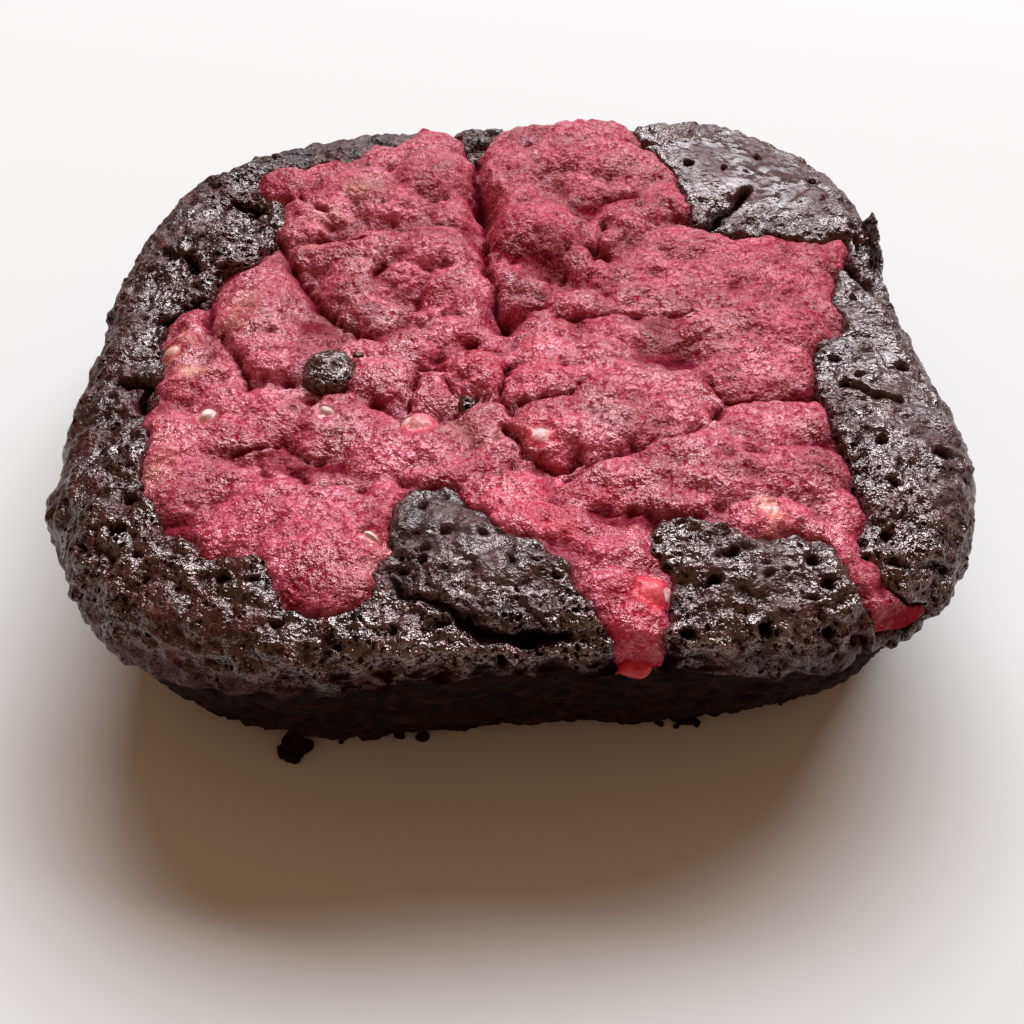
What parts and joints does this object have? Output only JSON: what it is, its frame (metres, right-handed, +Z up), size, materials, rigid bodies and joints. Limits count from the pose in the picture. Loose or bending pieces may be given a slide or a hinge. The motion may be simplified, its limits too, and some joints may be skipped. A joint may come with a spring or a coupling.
{
  "type": "red velvet brookie",
  "caption": "Square baked dessert: a dark brownie with a tapered side and rounded corners, a red velvet cookie sunk in its top, and white chocolate chips.",
  "frame": {"origin": "middle of the flat underside, centred on the outline seen from above", "axes": "+Z up out of the cookie top; the edge with the two brownie tongues faces -Y; +X to the right seen from there"},
  "size_m": [0.0997, 0.1005, 0.0255],
  "materials": {
    "brownie": "baked brownie: dark, crackled and part glossy on top, rough crumb on the wall",
    "cookie": "red velvet cookie: dull, grainy crumb in puffy lumps, deeper red in its cracks",
    "white_chocolate": "white chocolate, softly glossy, stained pink where batter covers it"
  },
  "bodies": {
    "root": {"brownie_base": "brownie", "red_velvet_cookie": "cookie", "brownie_drop_large": "brownie", "brownie_drop_small": "brownie", "white_chocolate_chip_1": "white_chocolate", "white_chocolate_chip_2": "white_chocolate", "white_chocolate_chip_3": "white_chocolate", "white_chocolate_chip_4": "white_chocolate", "white_chocolate_chip_5": "white_chocolate", "white_chocolate_chip_6": "white_chocolate", "white_chocolate_chip_7": "white_chocolate", "white_chocolate_chip_8": "white_chocolate", "white_chocolate_chip_9": "white_chocolate"}
  },
  "joints": []
}
